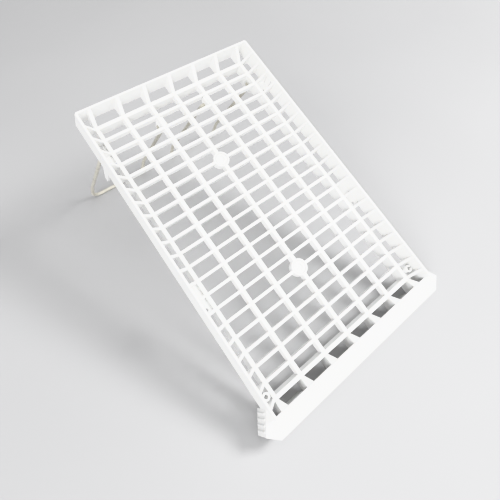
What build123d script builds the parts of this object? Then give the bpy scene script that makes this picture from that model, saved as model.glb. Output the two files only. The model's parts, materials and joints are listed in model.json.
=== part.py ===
"""Slatted laptop cooling pad: a moulded grid tray that stands on two fold-flat wire feet.

Every piece is built in the tray's own frame, in millimetres: x to the right, v (the Y axis) from the
front lip to the rear, w (the Z axis) out of the slatted deck, whose top is w = 0. The finished pieces
are then tilted and set down together, so that the pad stands on the plane Z = 0 with +Z up.
"""
from build123d import *
from math import asin, atan2, cos, degrees, hypot, radians, sin, tan
import os

# Deck grid
COLUMNS = 6
ROWS = 20
COLUMN_PITCH = 32.0
ROW_PITCH = 15.5
SLAT = 2.6              # thickness of a cross slat
LONG_SLAT = 3.8         # and of the slats that run from front to rear
SLAT_DEPTH = 8.0
FRAME = 3.8             # thickness of the frame round the grid
FRAME_DEPTH = 15.0
EDGE_BREAK = 0.35       # small chamfer on the top edges

# Rim: a thin upright wall round three sides, held off the grid by the ends of the slats
SIDE_GAP = 12.7         # from the outer slat's middle to the inside of a side wall
REAR_GAP = 15.5
WALL = 2.2
WALL_TOP = 17.0
WALL_BOTTOM = -5.0
CORNER_CUT = 1.6        # the rear corners are cut off this far along each wall

# Front lip
FRONT_SLAT_V = 27.0     # middle of the front slat, from the lip's front edge
LIP_DEPTH = 17.5
LIP_REAR_TOP = 9.0
LIP_FRONT_TOP = 5.5
LIP_BOTTOM = -15.0
LIP_SKIN = 2.4
LIP_TIP_X = 123.5
LIP_TIP_V = 10.5
LIP_SHOULDER_V = 28.0
RIDGES = 4
FLARE = 4.2             # half width of a long slat where it runs into the lip
RIDGE_RADIUS = 0.9

# Wire feet, one at each side
TILT = 27.0             # slope of the deck when the stand is open
WIRE = 2.2              # radius of the wire
LEG_X = 103.2           # the outer leg of a foot
INNER_LEG_X = 24.6
LEG_LEAN = 9.5          # the open leg leans this far back from square to the deck
TOE_LEAN = -4.0         # and its last stretch leans this far the other way
TOE_LENGTH = 30.0
PIN_BEND = 3.4
TOE_BEND = 30.0
FOOT_BEND = 13.0
PIN_END_X = 92.2
INNER_PIN_END_X = 36.0
PIVOT_ROW = 1.5
PIVOT_W = -10.5
PLAY = 0.08             # radial running clearance of the wire in its bushes
STOP_PLAY = 0.3

# Hinge bracket
PLATE = 2.2
PLATE_BOTTOM = -27.0
BUSH_RADIUS = 3.3
BUSH_FLANGE = 4.8
BUSH_FLANGE_DEPTH = 1.2
STOP_NEAR = 9.0         # the stop meets the leg between these distances from the pin
STOP_FAR = 15.0
STOP_DEPTH = 3.2
GUIDE = 2.3             # thickness of the guide tongue
GUIDE_BOTTOM = -33.0
COVER = 2.4             # thickness of the covers over the side gap
COVER_HOLE = 1.6
TONGUE_ROWS = (2.2, 2.72)   # the slits beside the tongue in each side wall
TONGUE_SLIT = 1.6
TONGUE_TOP = 10.0

# Stow clip, in the side gap beside the folded foot bar
CLIP_ROW = 13
CLIP_FINGER = 3.0
CLIP_REACH = 1.6        # how far the fingers pass the folded wire's middle
CLIP_HOLE = 2.0
CLIP_BASE = 2.0

# Small pieces
HOOK_V = 34.0
HOOK_RADIUS = 3.7
HOOK_BORE = 2.0
HOOK_TOP = 4.0
HOOK_SLOT = 1.6
BOSS_ROWS = (6, 15)
BOSS_RADIUS = 8.5
BOSS_BORE = 4.5
PLUG_HEAD = 6.6
PLUG_HEAD_HEIGHT = 2.0
PLUG_GAP = 0.4          # open ring round the plug's head
PLUG_DISH = 1.3         # depth of the dish in it
HANGER_COLUMN = 4
HANGER = 2.2            # thickness of the hanger's plate beside the slat
HANGER_HALF = 5.5
HANGER_TOP = -1.5
HANGER_BOTTOM = -16.0
PAD_X = 80.0
PAD_WIDTH = 26.0
PAD_FRONT = 1.5
PAD_REAR = 12.5
PAD_DROP = 1.6          # thickness of the pad at its front edge
PAD_SEAT = 2.4

HALF_GRID = COLUMNS * COLUMN_PITCH / 2
GRID_LENGTH = ROWS * ROW_PITCH
REAR_SLAT_V = FRONT_SLAT_V + GRID_LENGTH
FRAME_OUT = HALF_GRID + FRAME / 2
WALL_IN = HALF_GRID + SIDE_GAP
WALL_OUT = WALL_IN + WALL
REAR_IN = REAR_SLAT_V + REAR_GAP
REAR_OUT = REAR_IN + WALL
PAD_FRONT_W = LIP_BOTTOM - PAD_DROP


def row_v(row):
    """Where cross slat number row lies, counted from the rear."""
    return REAR_SLAT_V - row * ROW_PITCH


def column_x(column):
    """Where long slat number column lies, counted from the left."""
    return column * COLUMN_PITCH - HALF_GRID


def floor_gap(v, w):
    """Height of a point of the tray's frame above the surface that the pad stands on."""
    return (v - PAD_FRONT) * sin(radians(TILT)) + (w - PAD_FRONT_W) * cos(radians(TILT))


def step(start, length, lean):
    """The point reached from start by going down a length that leans back by some degrees."""
    return start[0] + length * sin(radians(lean)), start[1] - length * cos(radians(lean))


# The leg is as long as it takes to set the foot bar down on the surface.
PIVOT = (row_v(PIVOT_ROW), PIVOT_W)
TOE_DROP = TOE_LENGTH * cos(radians(TILT + TOE_LEAN))
LEG_LENGTH = (floor_gap(*PIVOT) - WIRE - TOE_DROP) / cos(radians(TILT + LEG_LEAN))
KNEE = step(PIVOT, LEG_LENGTH, LEG_LEAN)
FOOT = step(KNEE, TOE_LENGTH, TOE_LEAN)

# Folded, the foot bar lies just under the frame of the grid.
REACH = hypot(FOOT[0] - PIVOT[0], FOOT[1] - PIVOT[1])
OPEN_LEAN = degrees(atan2(FOOT[0] - PIVOT[0], PIVOT[1] - FOOT[1]))
STOWED_W = -FRAME_DEPTH - WIRE - 0.8
STOWED_SLOPE = degrees(asin((PIVOT_W - STOWED_W) / REACH))
STOWED_V = PIVOT[0] - REACH * cos(radians(STOWED_SLOPE))
FOLD = 90 + OPEN_LEAN - STOWED_SLOPE


def block(x0, x1, v0, v1, w0, w1):
    """A box between two values on each axis."""
    middle = Pos((x0 + x1) / 2, (v0 + v1) / 2, (w0 + w1) / 2)
    return middle * Box(abs(x1 - x0), abs(v1 - v0), abs(w1 - w0))


def side_profile(points, x0, x1):
    """An outline of (v, w) points, carried across the tray from x0 to x1."""
    outline = Plane.YZ * Polygon(*points, align=None)
    return Pos(x0, 0, 0) * extrude(outline, amount=x1 - x0, dir=(1, 0, 0))


def end_profile(points, v0, v1):
    """An outline of (x, w) points, carried along the tray from v0 to v1."""
    outline = Plane.XZ * Polygon(*points, align=None)
    return Pos(0, v0, 0) * extrude(outline, amount=v1 - v0, dir=(0, 1, 0))


def plan_profile(points, w0, w1):
    """An outline of (x, v) points, carried up from w0 to w1."""
    return Pos(0, 0, w0) * extrude(Polygon(*points, align=None), amount=w1 - w0, dir=(0, 0, 1))


def rod(x0, x1, v, w, radius):
    """A cylinder along the tray's x axis."""
    return Pos((x0 + x1) / 2, v, w) * Rot(0, 90, 0) * Cylinder(radius, abs(x1 - x0))


def post(x, v, w0, w1, radius):
    """A cylinder square to the deck."""
    return Pos(x, v, (w0 + w1) / 2) * Cylinder(radius, abs(w1 - w0))


def handed(piece, side):
    """A piece modelled on the right, as it is or mirrored to the left."""
    return piece if side == "right" else mirror(piece, about=Plane.YZ)


def deck_grid():
    """The flat lattice that carries the laptop, with its deeper frame and two boss rings."""
    middle = Pos(0, FRONT_SLAT_V + GRID_LENGTH / 2, 0)
    outer = middle * Rectangle(2 * FRAME_OUT, GRID_LENGTH + FRAME)
    grid = extrude(Face(outer.wire(), cell_outlines()), amount=SLAT_DEPTH, dir=(0, 0, -1))
    inner = middle * Rectangle(2 * HALF_GRID - FRAME, GRID_LENGTH - FRAME)
    skirt = extrude(outer - inner, amount=FRAME_DEPTH - SLAT_DEPTH, dir=(0, 0, -1))
    grid += Pos(0, 0, -SLAT_DEPTH) * skirt
    for row in BOSS_ROWS:
        grid += post(0, row_v(row), -SLAT_DEPTH, 0, BOSS_RADIUS)
        grid -= post(0, row_v(row), -SLAT_DEPTH - 1, 1, BOSS_BORE)
        grid -= post(0, row_v(row), -PLUG_HEAD_HEIGHT, 1, PLUG_HEAD + PLUG_GAP)
    pins = [rod(x - FRAME, x + FRAME, *PIVOT, BUSH_RADIUS) for x in (-HALF_GRID, HALF_GRID)]
    return grid - pins


def cell_outlines():
    """The outlines of the openings between the slats, cut back where the frame is thicker."""
    outlines = []
    for column in range(COLUMNS):
        x0 = column_x(column) + (FRAME if column == 0 else LONG_SLAT) / 2
        x1 = column_x(column + 1) - (FRAME if column == COLUMNS - 1 else LONG_SLAT) / 2
        for row in range(ROWS):
            v0 = row_v(row + 1) + (FRAME if row == ROWS - 1 else SLAT) / 2
            v1 = row_v(row) - (FRAME if row == 0 else SLAT) / 2
            outlines.append(Wire.make_polygon([(x0, v0), (x1, v0), (x1, v1), (x0, v1)]))
    return outlines


def slat_end(near, far):
    """Outline of the web between the grid's frame and a wall: its top climbs to the wall's top."""
    return [(near, WALL_BOTTOM), (far, WALL_BOTTOM), (far, WALL_TOP - 0.6), (near, 0)]


def side_rim(side):
    """A side wall with the slat ends that hold it, as far back as the rear of the grid."""
    wall = block(WALL_IN, WALL_OUT, LIP_DEPTH, REAR_SLAT_V + FRAME / 2, WALL_BOTTOM, WALL_TOP)
    wall = chamfer(wall.edges().filter_by(Axis.Y).group_by(Axis.Z)[-1], EDGE_BREAK)
    web = end_profile(slat_end(FRAME_OUT, WALL_IN), -SLAT / 2, SLAT / 2)
    webs = [Pos(0, row_v(row), 0) * web for row in range(ROWS + 1)]
    slits = [block(WALL_IN - 1, WALL_OUT + 1, row_v(row) - TONGUE_SLIT / 2, row_v(row) + TONGUE_SLIT / 2,
                   WALL_BOTTOM - 1, TONGUE_TOP) for row in TONGUE_ROWS]
    return handed(wall + webs - slits, side)


def rear_rim():
    """The rear wall with its two corners and the slat ends that hold it."""
    outline = [(-WALL_OUT, REAR_SLAT_V + FRAME / 2), (-WALL_OUT, REAR_OUT - CORNER_CUT),
               (CORNER_CUT - WALL_OUT, REAR_OUT), (WALL_OUT - CORNER_CUT, REAR_OUT),
               (WALL_OUT, REAR_OUT - CORNER_CUT), (WALL_OUT, REAR_SLAT_V + FRAME / 2)]
    cut = CORNER_CUT - WALL * tan(radians(22.5)) * 2 ** 0.5 / 2
    inside = [(-WALL_IN, 0), (-WALL_IN, REAR_IN - cut), (cut - WALL_IN, REAR_IN),
              (WALL_IN - cut, REAR_IN), (WALL_IN, REAR_IN - cut), (WALL_IN, 0)]
    wall = plan_profile(outline, WALL_BOTTOM, WALL_TOP)
    wall = chamfer(wall.faces().sort_by(Axis.Z)[-1].edges(), EDGE_BREAK)
    wall -= plan_profile(inside, WALL_BOTTOM - 1, WALL_TOP + 1)
    web = slat_end(REAR_SLAT_V + FRAME / 2, REAR_IN)
    webs = [side_profile(web, column_x(c) - LONG_SLAT / 2, column_x(c) + LONG_SLAT / 2)
            for c in range(COLUMNS + 1)]
    return wall + webs


def front_lip():
    """The broad front lip: a sloping top, a front skirt, pad seats and the flared slat ends."""
    shell = side_profile([(0, LIP_BOTTOM), (LIP_SKIN, LIP_BOTTOM),
                          (LIP_SKIN, LIP_FRONT_TOP - LIP_SKIN), (LIP_DEPTH, LIP_REAR_TOP - LIP_SKIN),
                          (LIP_DEPTH, LIP_REAR_TOP), (0, LIP_FRONT_TOP)], -WALL_OUT, WALL_OUT)
    top_edges = shell.edges().filter_by(Axis.X).sort_by(Axis.Z)[-2:]
    shell = chamfer(top_edges, EDGE_BREAK)
    frame_v = FRONT_SLAT_V - FRAME / 2
    web = [(LIP_SKIN, LIP_BOTTOM), (PAD_REAR, LIP_BOTTOM), (frame_v, -FRAME_DEPTH), (frame_v, 0),
           (LIP_DEPTH, LIP_REAR_TOP - LIP_SKIN), (LIP_SKIN, LIP_FRONT_TOP - LIP_SKIN)]
    flare = [(-LONG_SLAT / 2, frame_v), (LONG_SLAT / 2, frame_v), (FLARE, LIP_DEPTH - 0.5),
             (-FLARE, LIP_DEPTH - 0.5)]
    ramp = [(LIP_DEPTH - 0.5, -4), (frame_v, -4), (frame_v, 0), (LIP_DEPTH, LIP_REAR_TOP - 1),
            (LIP_DEPTH - 0.5, LIP_REAR_TOP - 1)]
    webs = []
    for column in range(COLUMNS + 1):
        x = column_x(column)
        webs.append(side_profile(web, x - LONG_SLAT / 2, x + LONG_SLAT / 2))
        outline = Pos(x, 0, 0) * plan_profile(flare, -4, LIP_REAR_TOP)
        webs.append(outline & side_profile(ramp, x - FLARE, x + FLARE))
    seats = [block(x - PAD_WIDTH / 2, x + PAD_WIDTH / 2, LIP_SKIN, PAD_REAR,
                   LIP_BOTTOM, LIP_BOTTOM + PAD_SEAT) for x in (-PAD_X, PAD_X)]
    return shell + webs + seats


def lip_end(side):
    """A pointed cap on an end of the lip, with a row of grip ridges down its rear face."""
    outline = [(WALL_OUT, LIP_SHOULDER_V), (LIP_TIP_X, LIP_TIP_V), (WALL_OUT + 2, 0), (WALL_OUT, 0)]
    height = [(0, LIP_BOTTOM), (LIP_SHOULDER_V, LIP_BOTTOM), (LIP_SHOULDER_V, LIP_REAR_TOP),
              (LIP_DEPTH, LIP_REAR_TOP), (0, LIP_FRONT_TOP)]
    cap = plan_profile(outline, LIP_BOTTOM, LIP_REAR_TOP) & side_profile(height, WALL_OUT, LIP_TIP_X)
    for ridge in range(RIDGES):
        along = (ridge + 0.8) / (RIDGES + 0.6)
        x = WALL_OUT + (LIP_TIP_X - WALL_OUT) * along
        v = LIP_SHOULDER_V + (LIP_TIP_V - LIP_SHOULDER_V) * along
        cap += post(x, v, LIP_BOTTOM + 2, LIP_FRONT_TOP, RIDGE_RADIUS)
    return handed(cap, side)


def hinge_bracket(side):
    """The hinge plate on the grid's frame, with the outer leg's stop, a gap cover and a guide."""
    v1, v2, v3 = row_v(1) + 5, row_v(2), row_v(3)
    plate = side_profile([(v1, WALL_BOTTOM), (v1 + 3, PLATE_BOTTOM), (PIVOT[0] - 4, PLATE_BOTTOM),
                          (v3 - 3, WALL_BOTTOM)], FRAME_OUT, FRAME_OUT + PLATE)
    plate -= rod(FRAME_OUT - 1, FRAME_OUT + PLATE + 1, *PIVOT, BUSH_RADIUS)
    near = WIRE + STOP_PLAY
    stop = Pos(0, (2 * near + STOP_DEPTH) / 2, -(STOP_NEAR + STOP_FAR) / 2)
    stop *= Box(2 * (LEG_X + WIRE - FRAME_OUT), STOP_DEPTH, STOP_FAR - STOP_NEAR)
    stop = Pos(FRAME_OUT, *PIVOT) * Rot(LEG_LEAN, 0, 0) * stop
    stop -= block(0, FRAME_OUT, 0, REAR_OUT, -60, 0)
    gap = (v3 + SLAT / 2, v2 - SLAT / 2)
    cover = block(FRAME_OUT, WALL_IN, *gap, WALL_BOTTOM, WALL_BOTTOM + COVER)
    middle = (v2 + v3) / 2
    cover -= post(FRAME_OUT + 2 * COVER_HOLE, v3 + 2 * COVER_HOLE, WALL_BOTTOM - 1, 0, COVER_HOLE)
    guide = side_profile([(v2 - SLAT / 2, WALL_BOTTOM + COVER), (v3 + SLAT / 2, WALL_BOTTOM + COVER),
                          (v3 + SLAT / 2, WALL_BOTTOM), (middle - 5.5, GUIDE_BOTTOM),
                          (middle - 1, GUIDE_BOTTOM), (v2 - SLAT / 2, WALL_BOTTOM)],
                         WALL_IN - GUIDE, WALL_IN)
    return handed(plate + stop + cover + guide, side)


def pivot_bush(side):
    """The flanged bush that carries the wire's pin through the frame and the hinge plate."""
    inside = HALF_GRID - FRAME / 2
    bush = rod(inside - BUSH_FLANGE_DEPTH, inside, *PIVOT, BUSH_FLANGE)
    bush += rod(inside, FRAME_OUT + PLATE, *PIVOT, BUSH_RADIUS)
    bush -= rod(inside - 5, FRAME_OUT + 5, *PIVOT, WIRE + PLAY)
    return handed(bush, side)


def stow_clip(side):
    """Covers over two side gaps on one base, with a finger that holds a corner of the folded wire."""
    low, high = row_v(CLIP_ROW + 1) + SLAT / 2, row_v(CLIP_ROW - 1) - SLAT / 2
    clip = block(FRAME_OUT, WALL_IN, low, high, WALL_BOTTOM - CLIP_BASE, WALL_BOTTOM)
    for row in (CLIP_ROW, CLIP_ROW + 1):
        gap = (row_v(row) + SLAT / 2, row_v(row - 1) - SLAT / 2)
        clip += block(FRAME_OUT, WALL_IN, *gap, WALL_BOTTOM, WALL_BOTTOM + COVER)
    clip -= post((FRAME_OUT + WALL_IN) / 2, low + CLIP_HOLE + 1, WALL_BOTTOM - 5, 0, CLIP_HOLE)
    front = STOWED_V - WIRE - STOP_PLAY
    clip += block(FRAME_OUT, FRAME_OUT + 4, front - CLIP_FINGER, front, STOWED_W - CLIP_REACH,
                  WALL_BOTTOM - CLIP_BASE)
    return handed(clip, side)


def corner_hook(side):
    """A small open loop that stands in the side gap just behind the lip."""
    x = (FRAME_OUT + WALL_IN) / 2
    hook = post(x, HOOK_V, WALL_BOTTOM, HOOK_TOP, HOOK_RADIUS)
    hook += block(FRAME_OUT, x, HOOK_V - 1.2, HOOK_V + 1.2, WALL_BOTTOM, -0.5)
    hook -= post(x, HOOK_V, WALL_BOTTOM - 1, HOOK_TOP + 1, HOOK_BORE)
    hook -= block(x, WALL_IN, HOOK_V - HOOK_SLOT / 2, HOOK_V + HOOK_SLOT / 2, WALL_BOTTOM - 1, HOOK_TOP + 1)
    return handed(hook, side)


def boss_plug(row):
    """A round plug, level with the slats, that closes the bore of a boss, with a dish in its head."""
    head = post(0, 0, -PLUG_HEAD_HEIGHT, 0, PLUG_HEAD)
    head = chamfer(head.edges().sort_by(Axis.Z)[-1], 0.5)
    plug = head + post(0, 0, -SLAT_DEPTH, 0, BOSS_BORE) - post(0, 0, -PLUG_DISH, 1, PLUG_HEAD / 2)
    return Pos(0, row_v(row), 0) * plug


def leg_hanger(side):
    """A block under one long slat that carries the inner pin of a wire foot."""
    near = column_x(HANGER_COLUMN) - LONG_SLAT / 2
    v, w = PIVOT
    hanger = block(near - HANGER, near, v - HANGER_HALF, v + HANGER_HALF, -SLAT_DEPTH, HANGER_TOP)
    outline = [(v - HANGER_HALF, -SLAT_DEPTH), (v + HANGER_HALF, -SLAT_DEPTH),
               (v + HANGER_HALF - 2, HANGER_BOTTOM), (v - HANGER_HALF + 2, HANGER_BOTTOM)]
    hanger += side_profile(outline, near - HANGER, near + LONG_SLAT + 1)
    return handed(hanger - rod(near - HANGER - 1, near + LONG_SLAT + 2, v, w, WIRE + PLAY), side)


def front_pad(side):
    """A wedge of rubber under the lip; its lower face lies flat on the surface."""
    rear_w = PAD_FRONT_W - (PAD_REAR - PAD_FRONT) * tan(radians(TILT))
    wedge = [(PAD_FRONT, LIP_BOTTOM), (PAD_REAR, LIP_BOTTOM), (PAD_REAR, rear_w),
             (PAD_FRONT, PAD_FRONT_W)]
    pad = side_profile(wedge, PAD_X - PAD_WIDTH / 2 + 1, PAD_X + PAD_WIDTH / 2 - 1)
    return handed(pad, side)


def stand_wire(side):
    """One bent wire foot: two pins, two legs with a slight knee, and the foot bar that joins them."""
    points = [(PIN_END_X, *PIVOT), (LEG_X, *PIVOT), (LEG_X, *KNEE), (LEG_X, *FOOT),
              (INNER_LEG_X, *FOOT), (INNER_LEG_X, *KNEE), (INNER_LEG_X, *PIVOT),
              (INNER_PIN_END_X, *PIVOT)]
    bends = [PIN_BEND, TOE_BEND, FOOT_BEND, FOOT_BEND, TOE_BEND, PIN_BEND]
    path = bent_path([Vector(*point) for point in points], bends)
    section = Plane(origin=path @ 0, z_dir=path % 0) * Circle(WIRE)
    return handed(sweep(section, path=path), side)


def bent_path(points, bends):
    """Straight runs between points, joined by an arc of the given radius at each corner."""
    edges, start = [], points[0]
    for before, corner, after, radius in zip(points, points[1:], points[2:], bends):
        back, ahead = (before - corner).normalized(), (after - corner).normalized()
        half = radians(back.get_angle(ahead)) / 2
        reach = radius / tan(half)
        centre = corner + (back + ahead).normalized() * (radius / sin(half))
        first, last = corner + back * reach, corner + ahead * reach
        crown = centre + (corner - centre).normalized() * radius
        edges += [Line(start, first), ThreePointArc(first, crown, last)]
        start = last
    return Wire(edges + [Line(start, points[-1])])


def all_pieces():
    """Every piece by name, in the tray's frame."""
    pieces = {"deck_grid": deck_grid(), "rim_rear": rear_rim(), "front_lip": front_lip(),
              "boss_plug_rear": boss_plug(BOSS_ROWS[0]), "boss_plug_front": boss_plug(BOSS_ROWS[1])}
    pairs = {"rim": side_rim, "lip_end": lip_end, "hinge_bracket": hinge_bracket,
             "pivot_bush": pivot_bush, "stow_clip": stow_clip, "corner_hook": corner_hook,
             "leg_hanger": leg_hanger, "front_pad": front_pad, "stand_wire": stand_wire}
    for name, make in pairs.items():
        for side in ("left", "right"):
            pieces[name + "_" + side] = make(side)
    return pieces


def main():
    """Tilt the pieces, set them down on Z = 0 about the middle, and write them."""
    os.makedirs("parts", exist_ok=True)
    tilted = {name: Rot(TILT, 0, 0) * piece for name, piece in all_pieces().items()}
    box = Compound(children=list(tilted.values())).bounding_box()
    place = Pos(-box.center().X, -box.center().Y, -box.min.Z)
    for name, piece in tilted.items():
        piece = place * piece
        solids = piece.solids()
        export_step(solids[0] if len(solids) == 1 else piece, "parts/" + name + ".step")
    to_stand = place * Rot(TILT, 0, 0)
    for name, point in {"pivot": (0, *PIVOT), "foot": (0, *FOOT), "lip front": (0, 0, LIP_FRONT_TOP),
                        "deck front": (0, FRONT_SLAT_V, 0), "deck rear": (0, REAR_SLAT_V, 0)}.items():
        print(name, [round(c, 3) for c in (to_stand * Pos(*point)).position])
    print("size", box.size, "fold", round(FOLD, 3), "leg", round(LEG_LENGTH, 2))


if __name__ == "__main__":
    main()
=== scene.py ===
import json

import bpy
from mathutils import Matrix, Vector

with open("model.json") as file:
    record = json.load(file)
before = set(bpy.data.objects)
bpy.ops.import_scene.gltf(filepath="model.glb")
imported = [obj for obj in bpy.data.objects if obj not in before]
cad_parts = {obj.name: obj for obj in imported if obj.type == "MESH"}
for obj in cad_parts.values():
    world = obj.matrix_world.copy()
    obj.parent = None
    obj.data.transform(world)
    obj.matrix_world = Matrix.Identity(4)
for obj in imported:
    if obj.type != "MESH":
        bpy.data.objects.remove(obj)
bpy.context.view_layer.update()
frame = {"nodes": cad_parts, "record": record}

# The camera, as it stands round the pad: place, then its right, up and back directions.
CAMERA_PLACE = (-0.2105, -0.27, 0.4536)
CAMERA_TURN = ((0.77761, 0.45144, -0.43764),
               (-0.62785, 0.52023, -0.57894),
               (-0.03368, 0.72495, 0.68797))
LENS = 32.59                 # millimetres, on a sensor 36 mm wide
SHIFT = (0.0362, -0.1622)

# The stage, in metres and watts: a pale floor under a white sky, with three square soft boxes.
FLOOR_SIZE = 6
SKY_STRENGTH = 0.7
LIGHTS = {  # name: place, the point it faces, power, size
    "overhead": ((0.3, 0.1, 2.2), (0.1, 0, 0.08), 8, 1.4),
    "front_right": ((1.35, -1.0, 1.7), (0.1, -0.1, 0.08), 56, 0.7),
    "camera_side": ((-1.6, -1.3, 1.1), (0, 0, 0.08), 44, 1.4),
}


def new_material(name, colour, roughness, coat=0.0):
    """A principled material with its even values on the shader's own sockets."""
    material = bpy.data.materials.new(name)
    material.use_nodes = True
    shader = material.node_tree.nodes["Principled BSDF"]
    shader.inputs["Base Color"].default_value = (*colour, 1)
    shader.inputs["Roughness"].default_value = roughness
    shader.inputs["Coat Weight"].default_value = coat
    shader.inputs["Coat Roughness"].default_value = 0.25
    return material, material.node_tree, shader


def noise(tree, scale, detail=3.0, rough=0.5):
    """Noise laid through the piece in the part's own metres."""
    place = tree.nodes.new("ShaderNodeTexCoord")
    texture = tree.nodes.new("ShaderNodeTexNoise")
    texture.inputs["Scale"].default_value = scale
    texture.inputs["Detail"].default_value = detail
    texture.inputs["Roughness"].default_value = rough
    tree.links.new(place.outputs["Object"], texture.inputs["Vector"])
    return texture.outputs["Fac"]


def feed(tree, socket, factor, low, high, start=0.35, end=0.65):
    """Blends two colours or greys over part of a factor's range, into a socket of the shader."""
    node = tree.nodes.new("ShaderNodeValToRGB")
    node.color_ramp.elements[0].position = start
    node.color_ramp.elements[1].position = end
    node.color_ramp.elements[0].color = (*low, 1)
    node.color_ramp.elements[1].color = (*high, 1)
    tree.links.new(factor, node.inputs["Fac"])
    tree.links.new(node.outputs["Color"], socket)


def bump(tree, shader, layers):
    """Bumps in a row: (factor, strength, height in metres) for each."""
    normal = None
    for factor, strength, height in layers:
        node = tree.nodes.new("ShaderNodeBump")
        node.inputs["Strength"].default_value = strength
        node.inputs["Distance"].default_value = height
        tree.links.new(factor, node.inputs["Height"])
        if normal is not None:
            tree.links.new(normal, node.inputs["Normal"])
        normal = node.outputs["Normal"]
    tree.links.new(normal, shader.inputs["Normal"])


def grey(value):
    """The same value in each channel."""
    return (value, value, value)


def moulded_white(name, colour, shade):
    """White moulded plastic: fine mould texture, slow waviness, uneven gloss, a touch of ageing."""
    material, tree, shader = new_material(name, colour, 0.36, 0.15)
    shader.inputs["Subsurface Weight"].default_value = 0.08
    shader.inputs["Subsurface Radius"].default_value = (0.004, 0.0038, 0.0034)
    shader.inputs["Subsurface Scale"].default_value = 0.6
    cloud = noise(tree, 14.0, 4.0, 0.55)
    gloss = noise(tree, 55.0, 5.0, 0.6)
    feed(tree, shader.inputs["Base Color"], cloud, shade, colour, 0.3, 0.6)
    feed(tree, shader.inputs["Roughness"], gloss, grey(0.3), grey(0.46))
    grain = noise(tree, 2600.0, 2.0, 0.5)
    wave = noise(tree, 38.0, 2.0, 0.4)
    bump(tree, shader, [(wave, 0.35, 0.0006), (grain, 0.18, 0.00005)])
    return material


def coated_wire(name):
    """Cream coating on a steel wire, its colour darkened well below cream as painted shade: soft
    gloss, with a fine grain and faint scuffs.
    """
    # The base colour here and both scuff colours below are set far darker than the cream coating:
    # painted shade on the wire.
    material, tree, shader = new_material(name, (0.54, 0.52, 0.45), 0.34, 0.25)
    scuff = noise(tree, 90.0, 6.0, 0.65)
    gloss = noise(tree, 400.0, 4.0, 0.6)
    grain = noise(tree, 700.0, 3.0, 0.5)
    feed(tree, shader.inputs["Base Color"], scuff, (0.46, 0.44, 0.375), (0.58, 0.56, 0.49), 0.3, 0.55)
    feed(tree, shader.inputs["Roughness"], gloss, grey(0.24), grey(0.46))
    bump(tree, shader, [(grain, 0.3, 0.0001), (scuff, 0.25, 0.0003)])
    return material


def pad_rubber(name):
    """Pale grey rubber: dull, grainy, darker where it has picked up dust."""
    material, tree, shader = new_material(name, (0.55, 0.55, 0.54), 0.8)
    dust = noise(tree, 120.0, 6.0, 0.7)
    gloss = noise(tree, 300.0, 3.0, 0.5)
    grain = noise(tree, 1500.0, 3.0, 0.6)
    feed(tree, shader.inputs["Base Color"], dust, (0.42, 0.42, 0.41), (0.6, 0.6, 0.59))
    feed(tree, shader.inputs["Roughness"], gloss, grey(0.7), grey(0.9))
    bump(tree, shader, [(grain, 0.5, 0.0001)])
    return material


def floor_material():
    """A smooth pale grey sweep with a weak sheen."""
    material, tree, shader = new_material("floor", (0.42, 0.42, 0.425), 0.5)
    shader.inputs["Specular IOR Level"].default_value = 0.25
    tone = noise(tree, 1.6, 2.0, 0.4)
    gloss = noise(tree, 6.0, 3.0, 0.5)
    feed(tree, shader.inputs["Base Color"], tone, (0.395, 0.395, 0.4), (0.45, 0.45, 0.455), 0.2, 0.8)
    feed(tree, shader.inputs["Roughness"], gloss, grey(0.45), grey(0.6))
    return material


def area_light(name, place, target, power, size):
    """A square soft box that faces a point."""
    light = bpy.data.lights.new(name, "AREA")
    light.energy = power
    light.shape = "SQUARE"
    light.size = size
    lamp = bpy.data.objects.new(name, light)
    bpy.context.scene.collection.objects.link(lamp)
    lamp.location = place
    way = [t - p for t, p in zip(target, place)]
    lamp.rotation_mode = "QUATERNION"
    lamp.rotation_quaternion = Vector(way).to_track_quat("-Z", "Y")


SLOTS = {
    "white_plastic": moulded_white("tray_white", (0.91, 0.91, 0.905), (0.86, 0.86, 0.85)),
    "bush_plastic": moulded_white("bush_white", (0.74, 0.74, 0.72), (0.68, 0.68, 0.66)),
    "pad_rubber": pad_rubber("pad_grey"),
    # The wire's material holds painted shade in its darkened colour.
    "coated_wire": coated_wire("wire_painted_shade"),
}
for part in frame["record"]["subparts"]:
    node = frame["nodes"][part["node"]]
    node.data.materials.clear()
    node.data.materials.append(SLOTS[part["material_slot"]])

# Floor
bpy.ops.mesh.primitive_plane_add(size=FLOOR_SIZE, location=(0, 0, 0))
floor = bpy.context.object
floor.name = "floor"
floor.data.materials.append(floor_material())

# Light, shown with a soft shoulder that keeps the relief of bright white plastic
bpy.context.scene.view_settings.view_transform = "Khronos PBR Neutral"
world = bpy.data.worlds.new("studio")
bpy.context.scene.world = world
world.use_nodes = True
world.node_tree.nodes["Background"].inputs["Color"].default_value = (1, 1, 1, 1)
world.node_tree.nodes["Background"].inputs["Strength"].default_value = SKY_STRENGTH
for name, (place, target, power, size) in LIGHTS.items():
    area_light(name, place, target, power, size)

# Camera
camera = bpy.data.cameras.new("camera")
camera.sensor_width = 36
camera.lens = LENS
camera.shift_x, camera.shift_y = SHIFT
camera.clip_start = 0.01
eye = bpy.data.objects.new("camera", camera)
bpy.context.scene.collection.objects.link(eye)
turn = Matrix(CAMERA_TURN).to_4x4()
eye.matrix_world = Matrix.Translation(CAMERA_PLACE) @ turn
bpy.context.scene.camera = eye
